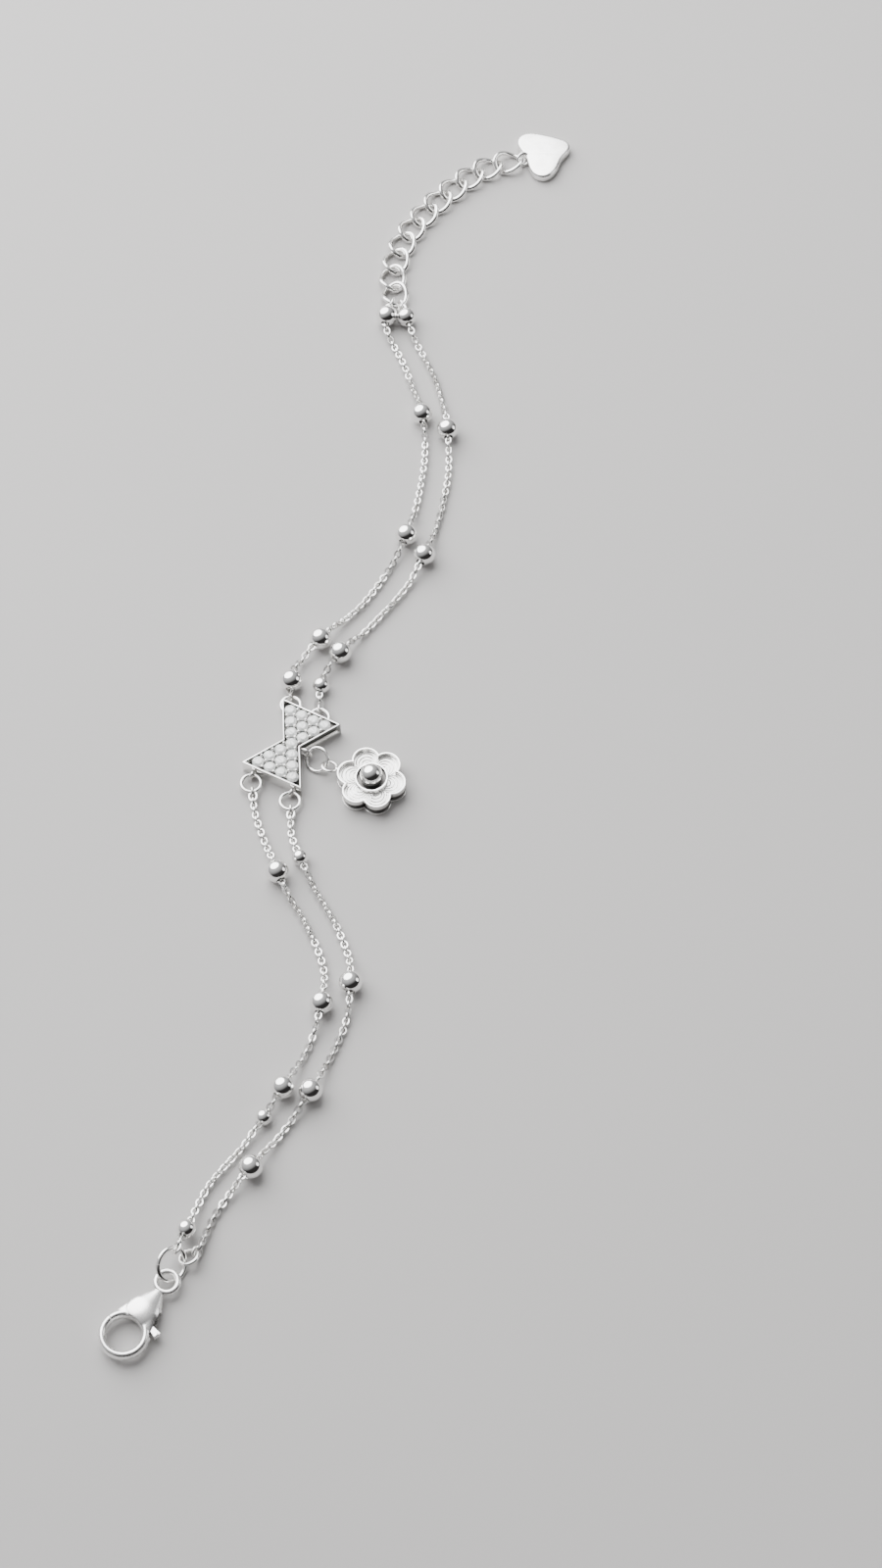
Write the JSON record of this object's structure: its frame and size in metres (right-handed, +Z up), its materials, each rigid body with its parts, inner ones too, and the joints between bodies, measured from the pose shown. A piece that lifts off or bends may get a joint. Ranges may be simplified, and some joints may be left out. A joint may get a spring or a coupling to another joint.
{
  "type": "charm anklet",
  "caption": "Fine double-chain silver anklet with beads, a pave hourglass plate, a flower charm, a lobster clasp and an extender chain with an end tag, lying open.",
  "frame": {"origin": "centre of the lying anklet's bounding box, on the surface it lies on", "axes": "+Y along the anklet from its clasp to its end tag, +Z up from the surface, +X to the flower charm's side"},
  "size_m": [0.0674, 0.215, 0.0049],
  "materials": {
    "polished_silver": "polished",
    "bead_silver": "mirror polished",
    "fine_chain": "polished",
    "pave_plate": "polished silver set with clear colourless stones"
  },
  "bodies": {
    "anklet": {"stone_plate": "pave_plate", "plate_ring_1": "polished_silver", "plate_ring_2": "polished_silver", "plate_ring_3": "polished_silver", "plate_ring_4": "polished_silver", "charm_ring": "polished_silver", "clasp_ring": "polished_silver", "connector_link": "polished_silver", "flower_charm": "polished_silver", "upper_left_strand": "fine_chain", "upper_right_strand": "fine_chain", "lower_left_strand": "fine_chain", "lower_right_strand": "fine_chain", "upper_left_bead_1": "bead_silver", "upper_left_bead_2": "bead_silver", "upper_left_bead_3": "bead_silver", "upper_left_bead_4": "bead_silver", "upper_left_bead_5": "bead_silver", "upper_right_bead_1": "bead_silver", "upper_right_bead_2": "bead_silver", "upper_right_bead_3": "bead_silver", "upper_right_bead_4": "bead_silver", "upper_right_bead_5": "bead_silver", "lower_left_bead_1": "bead_silver", "lower_left_bead_2": "bead_silver", "lower_left_bead_3": "bead_silver", "lower_left_bead_4": "bead_silver", "lower_left_bead_5": "bead_silver", "lower_right_bead_1": "bead_silver", "lower_right_bead_2": "bead_silver", "lower_right_bead_3": "bead_silver", "lower_right_bead_4": "bead_silver", "extender_link_1": "polished_silver", "extender_link_2": "polished_silver", "extender_link_3": "polished_silver", "extender_link_4": "polished_silver", "extender_link_5": "polished_silver", "extender_link_6": "polished_silver", "extender_link_7": "polished_silver", "extender_link_8": "polished_silver", "extender_link_9": "polished_silver", "extender_link_10": "polished_silver", "extender_link_11": "polished_silver", "end_tag": "polished_silver", "clasp_body": "polished_silver"},
    "clasp_gate": {"clasp_lever": "polished_silver"}
  },
  "joints": [
    {"name": "gate_pivot", "type": "hinge", "parent": "anklet", "child": "clasp_gate", "pos_m": [-0.02887, -0.1006, 0.00135], "axis": [0, 0, 1], "range_deg": [0, 25], "stiffness_Nm_per_rad": 0.0001}
  ]
}
